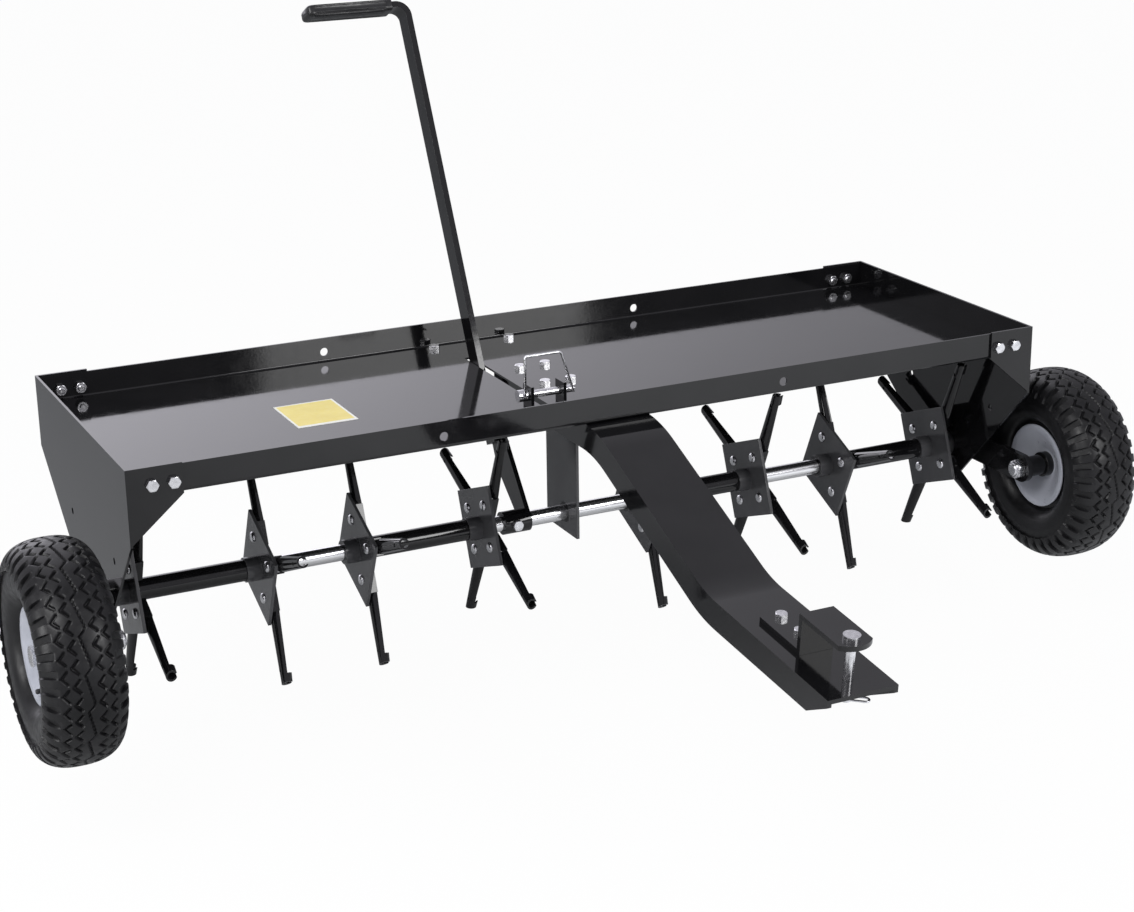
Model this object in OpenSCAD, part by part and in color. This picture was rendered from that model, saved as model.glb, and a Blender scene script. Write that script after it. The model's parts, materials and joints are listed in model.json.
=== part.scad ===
// Tow-behind plug aerator: a weight tray on two end plates, coring gangs that turn on one cross
// shaft, a lift lever and two wheel arms fixed on that shaft, and a curved drawbar with a pin hitch.
// Millimetres, +Z up, the drawbar points to -Y, and the lowest spoon tips stand on z = 0.

/* [Tray] */
// Length over the outer faces of the end plates
frame_l = 1219; // [1200:1:1300]
// Depth of the tray over its two walls
tray_d = 404; // [390:1:430]
// Height of the tray's underside over the shaft
tray_rise = 175; // [175:1:200]
// Height of the tray's front and rear walls
wall_h = 34; // [32:1:50]
// Thickness of the tray's sheet
sheet_t = 2.5; // [2:0.1:3]
// Outer radius of the bends along the tray's floor
tray_bend_r = 5; // [4:0.5:8]
// Distance of the holes in the tray's walls from the middle
wall_hole_x = 230; // [150:1:400]
// Radius of those holes
wall_hole_r = 5.5; // [4:0.1:6]
// Width of the plain patch on the floor
patch_w = 77; // [60:1:120]
// Depth of the plain patch
patch_d = 93; // [40:1:100]
// Thickness of the plain patch
patch_t = 0.4; // [0.3:0.1:1]
// Distance of the patch from the middle of the tray
patch_x = 319; // [250:1:450]
// Distance of the patch ahead of the middle of the tray
patch_lead = 9; // [0:1:60]

/* [End plates] */
// Thickness of the end plates
end_t = 3; // [2.5:0.1:4]
// Rise of the end plates over the tray's walls
end_rise = 2; // [1:0.5:4]
// Height of the end plates' straight edges
end_edge_h = 91; // [80:1:100]
// Width of the narrow foot at the shaft
end_foot_w = 64; // [50:1:80]
// Depth of that foot below the shaft
end_foot_drop = 34; // [28:1:45]
// Width of the bolted flanges
flange_w = 65; // [62:1:75]
// Distance of the outer flange bolt from the outer face
flange_bolt_in = 29; // [22:1:32]
// Distance between the two bolts of a flange
flange_bolt_pitch = 25; // [20:1:27]
// Height of the flange bolts and of the wall holes over the tray's underside
wall_bolt_z = 15; // [13:1:18]
// Radius of the accessory holes in the end plates
side_hole_r = 4.2; // [3:0.1:6]
// Distance of the accessory holes ahead of and behind the shaft
side_hole_y = 94; // [80:1:100]
// Height of the accessory holes over the shaft
side_hole_z = 78; // [75:1:100]

/* [Shaft and hanger] */
// Radius of the cross shaft
shaft_r = 10.2; // [9:0.1:11]
// Distance of the shaft ahead of the middle of the tray
shaft_lead = 32; // [20:1:45]
// Outer radius of the shaft bushes
bush_r = 13.5; // [12.5:0.1:15]
// Radius of the bush flanges
bush_flange_r = 17; // [16:0.1:19]
// Thickness of the bush flanges
bush_flange_t = 2; // [1.5:0.1:3]
// Thickness of the hanger's plates
hanger_t = 4; // [3:0.1:5]
// Place of the hanger's upright plate along the shaft
hanger_x = 8; // [6:0.5:10]
// Depth of the upright plate
hanger_d = 88; // [78:1:100]
// Distance of the hanger's front edge ahead of the shaft
hanger_lead = 36; // [30:1:44]
// Depth of the upright plate below the shaft
hanger_drop = 26; // [22:1:40]
// Width of the hanger's top plate
hanger_top_w = 60; // [56:1:70]
// Depth of the hanger's top plate
hanger_top_d = 132; // [126:1:140]

/* [Gangs] */
// Place of the inner gangs' inner plates, as a share of the half length inside the end plates
inner_from_share = 0.188; // [0.18:0.001:0.21]
// Place of the inner gangs' outer plates, as such a share
inner_to_share = 0.463; // [0.43:0.001:0.48]
// Place of the outer gangs' inner plates, as such a share
outer_from_share = 0.674; // [0.64:0.001:0.69]
// Place of the outer gangs' outer plates, as such a share
outer_to_share = 0.945; // [0.92:0.001:0.95]
// Side of the square gang plates
gang_side = 102; // [90:1:110]
// Thickness of the gang plates
gang_t = 4; // [3:0.1:5]
// Outer radius of the gang tubes
tube_r = 13.5; // [12.5:0.1:15]
// Radius of the hubs on the left of the gang plates
gang_hub_r = 15.5; // [15:0.1:18]
// Length of those hubs
gang_hub_l = 20; // [10:1:24]
// Length of tube past the right plate of a gang
tube_end = 4; // [2:0.5:8]
// Turn of the gangs from the square stance in degrees
gang_turn = 21; // [10:1:30]
// Reach of the spoon tips from the shaft
tip_r = 148; // [135:1:150]
// Half width of the spoons over their channel-shaped roots
spoon_r = 11; // [10.5:0.1:11.5]
// Outer radius of the rolled coring cup
cup_r = 6.8; // [6.2:0.1:7.5]
// Wall of the spoons
spoon_t = 2.4; // [2:0.1:2.6]
// Distance of the spoon bolts from the shaft
spoon_bolt_at = 38; // [36:1:42]
// Inner end of the spoon's root
root_in = 26; // [22:1:27]
// Outer end of the spoon's root, where the half-round blade starts
root_out = 56; // [52:1:60]
// Step from the root's outside in to the blade's
blade_set = 0.6; // [0.4:0.1:0.8]
// Length of the rolled coring cup at the tip
cup_l = 15; // [12:1:20]
// Width of the seam along the cup
cup_seam = 5; // [3:0.5:6]
// Radius of the relief hole above the cup
relief_r = 2.2; // [1.5:0.1:3]
// Length of the slanted cut at the tip
tip_cut = 5; // [3:0.5:8]

/* [Lift lever] */
// Place of the lever along the shaft, left of the middle
lever_x = 57; // [55:1:60]
// Width of the lever's flat bar
lever_w = 28; // [24:1:30]
// Thickness of the lever's flat bar
lever_t = 8; // [6:0.5:9]
// Lean of the lever from upright in degrees
lever_lean = 26; // [24:1:28]
// Offset of the bar behind the shaft, square to the bar
lever_set = 36; // [34:1:38]
// Lower end of the bar, measured up the lever from the shaft
lever_low = 108; // [95:1:110]
// Middle of the hand grip, measured up the lever from the shaft
grip_up = 702; // [600:1:740]
// Outer radius of the bend below the grip
lever_bend_r = 20; // [14:1:26]
// Length of the bent end from the bar's middle
grip_reach = 134; // [110:1:150]
// Length of the grip sleeve
grip_l = 116; // [90:1:118]
// Width of the grip sleeve
grip_w = 34; // [32:1:40]
// Thickness of the grip sleeve
grip_t = 16; // [14:1:20]
// Corner radius of the grip sleeve
grip_round = 5; // [3:0.5:6]
// Thickness of the lever's lower arm
arm_plate_t = 6; // [5:0.5:7]
// Height on the lever where the lower arm reaches its full width
arm_plate_knee = 76; // [70:1:90]
// Upper end of the lower arm, measured up the lever from the shaft
arm_plate_up = 160; // [150:1:162]
// Outer radius of the lever's collar
collar_r = 15; // [14.5:0.5:18]
// Length of the lever's collar
collar_l = 37; // [30:1:38]
// Width of the lever's slot in the tray
slot_w = 10; // [10:1:14]
// Reach of the slot behind the middle of the tray
slot_rear = 124; // [122:1:135]
// Reach of the slot ahead of the middle of the tray
slot_front = 150; // [140:1:165]

/* [Lock pin] */
// Radius of the lock pin
lock_r = 4.75; // [4:0.05:5.5]
// Distance of the lock pin ahead of the middle of the tray
lock_lead = 112; // [110:1:120]
// Height of the lock pin over the tray's floor
lock_up = 16.5; // [15:0.5:20]
// Distance of the lugs from the lever's plane
lug_x = 22; // [20:1:26]
// Thickness of the lugs
lug_t = 4; // [3:0.5:5]
// Width of the lugs
lug_w = 24; // [22:1:30]
// Height of the lugs
lug_h = 29; // [28:1:34]
// Radius of the lock pin's head
lock_head_r = 7.5; // [7:0.1:8]
// Length of the lock pin's head
lock_head_l = 13; // [11:1:15]
// Length of pin past the far lug
lock_tip = 14; // [13:1:18]
// Radius of the bail's wire
bail_r = 1.6; // [1.2:0.1:1.8]
// Height of the bail over the lock pin
bail_h = 52; // [46:1:60]
// Inward step of the bail's far top corner
bail_step = 17; // [12:1:18]

/* [Wheels] */
// Radius of the tyres
tyre_r = 130; // [120:1:135]
// Width of the tyres
tyre_w = 96; // [90:1:100]
// Wall of the tyres
tyre_wall = 9; // [8:0.5:11]
// Number of tread blocks on each shoulder of a tyre
tread_count = 38; // [30:1:42]
// Width of the gaps between those blocks
tread_gap = 8.5; // [6:0.5:10]
// Depth of the gaps
tread_depth = 4.6; // [3:0.1:5]
// Inset of the sidewalls at the foot of the blocks
sidewall_in = 4; // [3:0.5:5]
// Distance of the wheels' middle planes from the outer faces of the end plates
wheel_gap = 78.5; // [76:0.5:100]
// Radius of the rim's edge
rim_r = 57; // [54:0.5:60]
// Width of the rim over its edges
rim_w = 66; // [60:1:70]
// Depth of the bead seat below the rim's edge
rim_lip = 7; // [6:0.5:9]
// Sheet of the rim
rim_t = 3; // [2.5:0.1:3.5]
// Depth of the rim's dish at the hub
dish_in = 18; // [12:1:20]
// Outer radius of the hub bush
hub_r = 17; // [15:0.5:18]
// Length of the hub bush
hub_l = 50; // [46:1:56]
// Radius of the axle bolts
axle_r = 8; // [7:0.1:8.5]
// Distance from the shaft to the wheel axles
arm_l = 138; // [120:1:145]
// Width of the wheel arms
arm_w = 38; // [36:1:44]
// Thickness of the wheel arms
arm_t = 8; // [6:0.5:10]
// Gap from the end plates to the arm hubs
arm_gap = 3.5; // [3:0.5:6]
// Length of the arm hubs on the shaft
arm_hub_l = 30; // [28:1:32]
// Distance of the arms' outer faces inside the outer ends of their hubs
arm_set = 6; // [6:0.5:9]
// Radius of the valve stems
valve_r = 3.2; // [2.5:0.1:4]
// Length of the valve stems
valve_l = 20; // [14:1:22]
// Distance of the valve stems from the axle
valve_at = 40; // [34:1:42]
// Angle of the valve stems in degrees, from straight ahead
valve_deg = -75; // [-170:1:170]

/* [Drawbar and hitch] */
// Width of the drawbar channel
bar_w = 86; // [80:1:87]
// Thickness of the drawbar's sheet
bar_t = 5; // [4:0.5:6]
// Depth of the drawbar's side flanges
bar_depth = 34; // [33:1:38]
// Depth of the side flanges at the nose's end
bar_nose_depth = 9; // [6:0.5:10]
// Length of the slanted cut of the flanges at the nose
bar_cut_l = 38; // [30:1:44]
// Depth of the side flanges where that cut starts
bar_cut_depth = 32; // [28:1:33]
// Reach of the drawbar behind the middle of the tray
bar_tail = 72; // [70:1:90]
// Start of the drop, ahead of the middle of the tray
bar_start = 185; // [170:1:200]
// Radius of the upper bend
bar_top_r = 187; // [120:1:200]
// Slope of the drawbar's drop in degrees
bar_slope = 23; // [18:1:28]
// Length of the straight drop
bar_drop_l = 226; // [200:1:250]
// Radius of the lower bend
bar_low_r = 164; // [120:1:200]
// Slope of the nose in degrees
nose_slope = 6; // [0:1:8]
// Length of the nose
nose_l = 231; // [220:1:240]
// Width of the hitch strap
strap_w = 42; // [38:1:48]
// Thickness of the hitch strap
strap_t = 6; // [5:0.5:8]
// Clear height between the strap and the drawbar
strap_gap = 42; // [40:1:60]
// Reach of the strap's nose ahead of the hitch pin
strap_nose = 17; // [15:1:20]
// Radius of the strap's nose
strap_nose_r = 28; // [24:1:40]
// Length of the strap's foot
strap_foot_l = 82; // [80:1:104]
// Distance of the strap's web behind the nose's end
strap_back = 92; // [88:1:100]
// Distance of the rear strap bolt behind the nose's end
strap_bolt_back = 164; // [158:1:165]
// Distance between the strap bolts
strap_bolt_pitch = 39; // [34:1:42]
// Radius of the hitch pin
hitch_r = 5.5; // [5:0.1:7]
// Distance of the hitch pin behind the nose's end
hitch_back = 30; // [26:1:32]
// Radius of the hitch pin's head
hitch_head_r = 9.5; // [9:0.5:13]
// Thickness of the hitch pin's head
hitch_head_t = 5; // [4:0.5:8]
// Length of hitch pin below the drawbar's top
hitch_below = 25; // [24:1:28]
// Depth of the clip below the drawbar's sheet
clip_below = 14.5; // [14:0.5:15]
// Radius of the clip's wire
clip_r = 1.3; // [1:0.1:1.6]
// Radius of the clip's bow
clip_bow_r = 4.2; // [3.9:0.1:6]
// Length of the clip's straight leg past the pin
clip_l = 20; // [16:1:28]
// Turn of the clip from square to the drawbar towards its nose, in degrees
clip_turn = 36; // [36:1:50]

/* [Fasteners and fits] */
// Radius of the bolts
bolt_r = 4; // [3:0.1:5]
// Radius of hex heads and nuts over their corners
hex_r = 7.5; // [7:0.1:8.5]
// Height of the hex heads
head_h = 5.5; // [4:0.5:7]
// Height of the nuts
nut_h = 6.5; // [5:0.5:8]
// Length of thread past a nut
thread_out = 2; // [1:0.5:4]
// Radius of the round bolt heads on the gang plates and the lever's arm
round_head_r = 6.8; // [6:0.1:8]
// Height of those round heads
round_head_h = 3; // [2:0.5:3.5]
// Distance of the drawbar's floor bolts from the middle
floor_bolt_x = 18; // [18:0.5:20]
// Distance of the front pair of floor bolts ahead of the middle
floor_bolt_lead = 31; // [29:1:33]
// Distance between the front and rear pairs of floor bolts
floor_bolt_pitch = 76; // [70:1:78]
// Distance of the rear strap's bolts from the outer face of the rear wall
rear_bolt_in = 18; // [16:1:24]
// Place of the rear strap's middle, left of the middle
rear_strap_x = 25; // [10:1:40]
// Distance between the rear strap's bolts
rear_bolt_pitch = 110; // [80:1:120]
// Width of the rear strap
rear_strap_w = 28; // [22:1:30]
// Length of the rear strap past its bolts
rear_strap_end = 18; // [14:1:24]
// Radius of the hex heads and nuts of the axles
axle_hex_r = 13.8; // [13:0.1:15]
// Height of the axle heads
axle_head_h = 10; // [8:0.5:12]
// Height of the axle nuts
axle_nut_h = 12; // [10:0.5:14]
// Radius of the wheel spacers
spacer_r = 14; // [12:0.5:16]
// Radial clearance of a running fit
run_fit = 0.08; // [0.03:0.01:0.1]
// Clearance of loose holes and of parts that pass each other
loose = 0.3; // [0.3:0.05:0.5]
// Overrun of cuts past a face
over = 1; // [0.5:0.5:2]

/* [Hidden] */
$fn = 64;
arc_step = 2;
sidewall_steps = 6;
tread_steps = 8;
gap_phase = 0.25;
full_turn = 360;

// Colours
gloss_black = [0.05, 0.05, 0.055];
zinc = [0.78, 0.78, 0.8];
rim_grey = [0.52, 0.54, 0.56];
rubber_black = [0.04, 0.04, 0.04];
patch_yellow = [0.9, 0.75, 0.1];

// Heights: the lowest spoon tip touches the ground
shaft_z = tip_r * cos(gang_turn) + cup_r * sin(gang_turn);
tray_z = shaft_z + tray_rise;
floor_z = tray_z + sheet_t;
end_top_z = tray_z + wall_h + end_rise;
lock_z = floor_z + lock_up;

// Drawbar line: its corner points from the tail to the nose, as distances ahead of the tray's middle
bend_1 = [bar_start + bar_top_r * sin(bar_slope), tray_z - bar_top_r * (1 - cos(bar_slope))];
bend_2 = bend_1 + bar_drop_l * [cos(bar_slope), -sin(bar_slope)];
bend_3 = bend_2 + bar_low_r * [sin(bar_slope) - sin(nose_slope), cos(bar_slope) - cos(nose_slope)];
nose = bend_3 + nose_l * [cos(nose_slope), -sin(nose_slope)];

// Reach ahead of and behind the tray's middle, and the tray's place that centres the whole in Y
strap_top = strap_gap + strap_t;
strap_lead = strap_top * sin(nose_slope) + (strap_nose - hitch_back) * cos(nose_slope);
front_reach = nose[0] + max(0, strap_lead);
grip_rear = lever_set + grip_w / 2 - grip_round;
grip_top = grip_up + grip_t / 2 - grip_round;
rear_reach = grip_rear * cos(lever_lean) + grip_top * sin(lever_lean) + grip_round - shaft_lead;
tray_y = (front_reach - rear_reach) / 2;
shaft_y = tray_y - shaft_lead;
front_wall_y = tray_y - tray_d / 2;
rear_wall_y = tray_y + tray_d / 2;
lock_y = tray_y - lock_lead;
inner_half_l = frame_l / 2 - end_t;
arm_x = frame_l / 2 + arm_gap;
arm_plate_x = arm_x + arm_hub_l - arm_set - arm_t;
wheel_x = frame_l / 2 + wheel_gap;
bar_in_x = -lever_x + lever_t / 2;
rear_bolts_x = [-rear_strap_x - rear_bolt_pitch / 2, -rear_strap_x + rear_bolt_pitch / 2];
rear_bolt_y = tray_d / 2 - rear_bolt_in;
floor_bolts_y = [tray_y - floor_bolt_lead, tray_y - floor_bolt_lead + floor_bolt_pitch];
strap_bolts_back = [strap_bolt_back, strap_bolt_back - strap_bolt_pitch];
lever_bolts_up = [lever_low + hex_r * 2, arm_plate_up - hex_r * 2];
lock_head_x = -lever_x - lug_x - lug_t / 2 - lock_head_l / 2 - loose;
lock_tip_x = -lever_x + lug_x + lug_t / 2 + lock_tip;
bail_y = lock_y - lock_head_r - bail_r - 2 * loose;

// Points of an arc, clockwise when the end angle is lower
function arc(centre, radius, from, to) =
    let (steps = max(2, ceil(abs(to - from) / arc_step)))
    [for (i = [0 : steps]) let (a = from + (to - from) * i / steps)
        centre + radius * [cos(a), sin(a)]];

// A bolt whose head stands on z = 0 and whose shank goes down
module hex_bolt(shank) {
    cylinder(r = hex_r, h = head_h, $fn = 6);
    translate([0, 0, -shank]) cylinder(r = bolt_r, h = shank);
}

// A round-headed bolt through a stack that stands on z = 0, with its nut on top
module round_bolt(stack) {
    translate([0, 0, -round_head_h]) cylinder(r = round_head_r, h = round_head_h);
    cylinder(r = bolt_r, h = stack + nut_h + thread_out);
    translate([0, 0, stack]) cylinder(r = hex_r, h = nut_h, $fn = 6);
}

// A nut that stands on z = 0, bored for its bolt
module hex_nut() {
    difference() {
        cylinder(r = hex_r, h = nut_h, $fn = 6);
        translate([0, 0, -over]) cylinder(r = bolt_r, h = nut_h + 2 * over);
    }
}

// A loose bolt hole along z, through everything within the length
module bolt_hole(length) {
    translate([0, 0, -length]) cylinder(r = bolt_r + loose, h = 2 * length);
}

// Puts children at the end plates' flange bolts with z pointing out of the machine
module at_flange_bolts(stand_off) {
    for (side = [-1, 1], n = [0, 1], rear = [0, 1]) {
        bolt_x = side * (frame_l / 2 - flange_bolt_in - n * flange_bolt_pitch);
        face_y = rear == 1 ? rear_wall_y + stand_off : front_wall_y - stand_off;
        translate([bolt_x, face_y, tray_z + wall_bolt_z])
            rotate([rear == 1 ? -90 : 90, 0, 0]) children();
    }
}

// Holes through the front and rear walls of the tray
module wall_holes() {
    for (x = [-wall_hole_x, wall_hole_x])
        translate([x, rear_wall_y + over, tray_z + wall_bolt_z]) rotate([90, 0, 0])
            cylinder(r = wall_hole_r, h = tray_d + 2 * over);
}

// Puts children at the bolts through the tray's floor
module at_floor_bolts(drawbar_z, strap_z) {
    for (x = [-floor_bolt_x, floor_bolt_x], y = floor_bolts_y) translate([x, y, drawbar_z]) children();
    for (x = rear_bolts_x) translate([x, tray_y + rear_bolt_y, strap_z]) children();
}

// Places children in the frame of the drawbar's nose: y runs back along it, z stands square on it
module on_nose() {
    translate([0, tray_y - nose[0], nose[1]]) rotate([nose_slope, 0, 0]) children();
}

// Places children in the lever's frame: z runs up the lever from the shaft
module on_lever() {
    translate([0, shaft_y, shaft_z]) rotate([-lever_lean, 0, 0]) children();
}

// Places children on the shaft's axis, turned so that z runs along it to the right
module on_shaft(x) {
    translate([x, shaft_y, shaft_z]) rotate([0, 90, 0]) children();
}

// Extrudes a side view (y, z) to a width along x, centred on x = 0
module side_extrude(width) {
    rotate([90, 0, 90]) linear_extrude(width, center = true) children();
}

// Section of the tray: a pan with rounded lower corners, standing on y = 0
module pan_section(width, height, radius) {
    translate([-width / 2, radius]) square([width, height - radius]);
    translate([-width / 2 + radius, 0]) square([width - 2 * radius, radius]);
    for (side = [-1, 1]) translate([side * (width / 2 - radius), radius]) circle(radius);
}

module tray() {
    color(gloss_black) difference() {
        translate([0, tray_y, tray_z]) side_extrude(2 * inner_half_l) difference() {
            pan_section(tray_d, wall_h, tray_bend_r);
            translate([0, sheet_t]) pan_section(tray_d - 2 * sheet_t, wall_h, tray_bend_r - sheet_t);
        }
        translate([-lever_x - slot_w / 2, tray_y - slot_front, tray_z - over])
            cube([slot_w, slot_front + slot_rear, sheet_t + 2 * over]);
        at_flange_bolts(0) bolt_hole(sheet_t + over);
        wall_holes();
        at_floor_bolts(tray_z, tray_z) bolt_hole(sheet_t + over);
    }
}

module plain_patch() {
    color(patch_yellow) translate([-patch_x - patch_w / 2, tray_y - patch_lead - patch_d / 2, floor_z])
        cube([patch_w, patch_d, patch_t]);
}

// Right end plate: a tapered plate with two flanges bent inwards over the tray's walls
module end_plate() {
    half_d = tray_d / 2 + end_t;
    knee_z = end_top_z - end_edge_h;
    foot_z = shaft_z - end_foot_drop;
    foot_y = shaft_y - tray_y;
    outline = [[-half_d, end_top_z], [half_d, end_top_z], [half_d, knee_z],
        [foot_y + end_foot_w / 2, foot_z], [foot_y - end_foot_w / 2, foot_z], [-half_d, knee_z]];
    flange = [[0, end_top_z], [flange_w, end_top_z], [flange_w, tray_z], [0, knee_z]];
    difference() {
        union() {
            translate([frame_l / 2 - end_t / 2, tray_y, 0]) side_extrude(end_t) polygon(outline);
            for (y = [front_wall_y, rear_wall_y + end_t])
                translate([frame_l / 2, y, 0]) rotate([90, 0, 0]) mirror([1, 0, 0])
                    linear_extrude(end_t) polygon(flange);
        }
        on_shaft(inner_half_l - over) cylinder(r = bush_r, h = end_t + 2 * over);
        for (y = [-side_hole_y, side_hole_y])
            translate([inner_half_l - over, shaft_y + y, shaft_z + side_hole_z]) rotate([0, 90, 0])
                cylinder(r = side_hole_r, h = end_t + 2 * over);
        at_flange_bolts(0) bolt_hole(end_t + over);
    }
}

module end_plate_right() {
    color(gloss_black) end_plate();
}

module end_plate_left() {
    color(gloss_black) mirror([1, 0, 0]) end_plate();
}

module end_plate_bolts() {
    color(zinc) at_flange_bolts(end_t) hex_bolt(end_t + sheet_t + nut_h + thread_out);
}

module end_plate_nuts() {
    color(zinc) at_flange_bolts(-sheet_t) mirror([0, 0, 1]) hex_nut();
}

module floor_bolts() {
    color(zinc) {
        for (x = [-floor_bolt_x, floor_bolt_x], y = floor_bolts_y)
            translate([x, y, floor_z]) hex_bolt(sheet_t + bar_t + hanger_t + nut_h + thread_out);
        for (x = rear_bolts_x)
            translate([x, tray_y + rear_bolt_y, floor_z])
                hex_bolt(sheet_t + hanger_t + nut_h + thread_out);
    }
}

module floor_nuts() {
    color(zinc) at_floor_bolts(tray_z - bar_t - hanger_t, tray_z - hanger_t)
        mirror([0, 0, 1]) hex_nut();
}

// Flat strap under the floor behind the lever's slot
module rear_strap() {
    strap_l = rear_bolt_pitch + 2 * rear_strap_end;
    color(gloss_black) difference() {
        translate([-rear_strap_x, tray_y + rear_bolt_y, tray_z - hanger_t / 2])
            cube([strap_l, rear_strap_w, hanger_t], center = true);
        for (x = rear_bolts_x) translate([x, tray_y + rear_bolt_y, tray_z]) bolt_hole(hanger_t + over);
    }
}

// Flanged bush for a sheet of the given thickness, flange below z = 0
module shaft_bush(sheet) {
    difference() {
        union() {
            cylinder(r = bush_r, h = sheet);
            translate([0, 0, -bush_flange_t]) cylinder(r = bush_flange_r, h = bush_flange_t);
        }
        translate([0, 0, -bush_flange_t - over])
            cylinder(r = shaft_r + run_fit, h = sheet + bush_flange_t + 2 * over);
    }
}

module shaft_bushes() {
    color(rubber_black) for (side = [0, 1])
        mirror([side, 0, 0]) on_shaft(inner_half_l) shaft_bush(end_t);
}

// Centre hanger: a top plate under the drawbar and one upright plate that the shaft runs through
module hanger() {
    top_z = tray_z - bar_t;
    front_y = shaft_y - hanger_lead;
    color(gloss_black) difference() {
        union() {
            translate([-hanger_top_w / 2, front_y, top_z - hanger_t])
                cube([hanger_top_w, hanger_top_d, hanger_t]);
            translate([hanger_x - hanger_t / 2, front_y, shaft_z - hanger_drop])
                cube([hanger_t, hanger_d, top_z - shaft_z + hanger_drop]);
        }
        on_shaft(hanger_x - hanger_t / 2 - over) cylinder(r = bush_r, h = hanger_t + 2 * over);
        for (x = [-floor_bolt_x, floor_bolt_x], y = floor_bolts_y)
            translate([x, y, top_z]) bolt_hole(hanger_t + over);
    }
}

module hanger_bush() {
    color(rubber_black) on_shaft(hanger_x + hanger_t / 2) mirror([0, 0, 1]) shaft_bush(hanger_t);
}

module lock_lugs() {
    color(gloss_black) for (x = [-lever_x - lug_x, -lever_x + lug_x]) difference() {
        translate([x - lug_t / 2, lock_y - lug_w / 2, floor_z]) cube([lug_t, lug_w, lug_h]);
        translate([x - lug_t, lock_y, lock_z]) rotate([0, 90, 0])
            cylinder(r = lock_r + loose, h = 2 * lug_t);
    }
}

// Side view of a sheet that follows the drawbar's line, from the line down to the given depth;
// the nose's lower edge runs from the cut's depth to the depth at the nose's end
module bar_side(depth, cut_depth, nose_depth) {
    high_c = [bar_start, tray_z - bar_top_r];
    low_c = bend_3 + bar_low_r * [sin(nose_slope), cos(nose_slope)];
    along = [cos(nose_slope), -sin(nose_slope)];
    square_on = [-sin(nose_slope), -cos(nose_slope)];
    upper = concat([[-bar_tail, tray_z]], arc(high_c, bar_top_r, 90, 90 - bar_slope),
        arc(low_c, bar_low_r, 270 - bar_slope, 270 - nose_slope), [nose]);
    lower = concat([nose + nose_depth * square_on, nose - bar_cut_l * along + cut_depth * square_on],
        arc(low_c, bar_low_r + depth, 270 - nose_slope, 270 - bar_slope),
        arc(high_c, bar_top_r - depth, 90 - bar_slope, 90), [[-bar_tail, tray_z - depth]]);
    polygon([for (p = concat(upper, lower)) [-p[0], p[1]]]);
}

module drawbar() {
    color(gloss_black) difference() {
        translate([0, tray_y, 0]) {
            side_extrude(bar_w) bar_side(bar_t, bar_t, bar_t);
            for (side = [-1, 1]) translate([side * (bar_w - bar_t) / 2, 0, 0])
                side_extrude(bar_t) bar_side(bar_depth, bar_cut_depth, bar_nose_depth);
        }
        for (x = [-floor_bolt_x, floor_bolt_x], y = floor_bolts_y)
            translate([x, y, tray_z]) bolt_hole(bar_t + over);
        on_nose() {
            for (back = strap_bolts_back) translate([0, back, 0]) bolt_hole(bar_t + over);
            translate([0, hitch_back, -bar_t - over]) cylinder(r = hitch_r + loose, h = bar_t + 2 * over);
        }
    }
}

// Hitch strap: a foot on the drawbar, an upright web and a round-nosed plate over the hitch gap
module hitch_strap() {
    color(gloss_black) on_nose() difference() {
        union() {
            translate([-strap_w / 2, strap_back, 0]) cube([strap_w, strap_foot_l, strap_t]);
            translate([-strap_w / 2, strap_back, 0]) cube([strap_w, strap_t, strap_top]);
            translate([-strap_w / 2, hitch_back, strap_gap])
                cube([strap_w, strap_back + strap_t - hitch_back, strap_t]);
            intersection() {
                translate([0, hitch_back - strap_nose + strap_nose_r, strap_gap])
                    cylinder(r = strap_nose_r, h = strap_t);
                translate([-strap_w / 2, hitch_back - strap_nose - over, strap_gap])
                    cube([strap_w, strap_nose_r, strap_t]);
            }
        }
        for (back = strap_bolts_back) translate([0, back, 0]) bolt_hole(strap_t + over);
        translate([0, hitch_back, strap_gap - over]) cylinder(r = hitch_r + loose, h = strap_t + 2 * over);
    }
}

module strap_bolts() {
    color(zinc) on_nose() for (back = strap_bolts_back)
        translate([0, back, strap_t]) hex_bolt(strap_t + bar_t + nut_h + thread_out);
}

module strap_nuts() {
    color(zinc) on_nose() for (back = strap_bolts_back)
        translate([0, back, -bar_t]) mirror([0, 0, 1]) hex_nut();
}

module hitch_pin() {
    color(zinc) on_nose() translate([0, hitch_back, 0]) difference() {
        union() {
            translate([0, 0, -hitch_below]) cylinder(r = hitch_r, h = strap_top + hitch_below);
            translate([0, 0, strap_top]) cylinder(r = hitch_head_r, h = hitch_head_t);
        }
        translate([0, 0, -bar_t - clip_below]) rotate([0, 90, -clip_turn])
            cylinder(r = clip_r + loose, h = 2 * (hitch_r + over), center = true);
    }
}

// Hairpin clip: one leg through the pin, a bow, and one leg that lies ahead of the pin
module hitch_clip() {
    color(zinc) on_nose() translate([0, hitch_back, -bar_t - clip_below]) rotate([0, 0, -clip_turn]) {
        translate([-clip_l / 2, 0, 0]) rotate([0, 90, 0]) cylinder(r = clip_r, h = clip_l * 3 / 2);
        translate([0, -2 * clip_bow_r, 0]) rotate([0, 90, 0]) cylinder(r = clip_r, h = clip_l);
        translate([clip_l, -clip_bow_r, 0]) rotate([0, 0, -90])
            rotate_extrude(angle = 180) translate([clip_bow_r, 0]) circle(clip_r);
    }
}

module lock_pin() {
    color(zinc) difference() {
        union() {
            translate([lock_head_x, lock_y, lock_z]) rotate([0, 90, 0])
                cylinder(r = lock_r, h = lock_tip_x - lock_head_x);
            translate([lock_head_x - lock_head_l / 2, lock_y, lock_z]) rotate([0, 90, 0])
                cylinder(r = lock_head_r, h = lock_head_l);
        }
        translate([lock_head_x, lock_y, lock_z]) rotate([90, 0, 0])
            cylinder(r = bail_r + loose, h = lock_head_r + over);
    }
}

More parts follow.
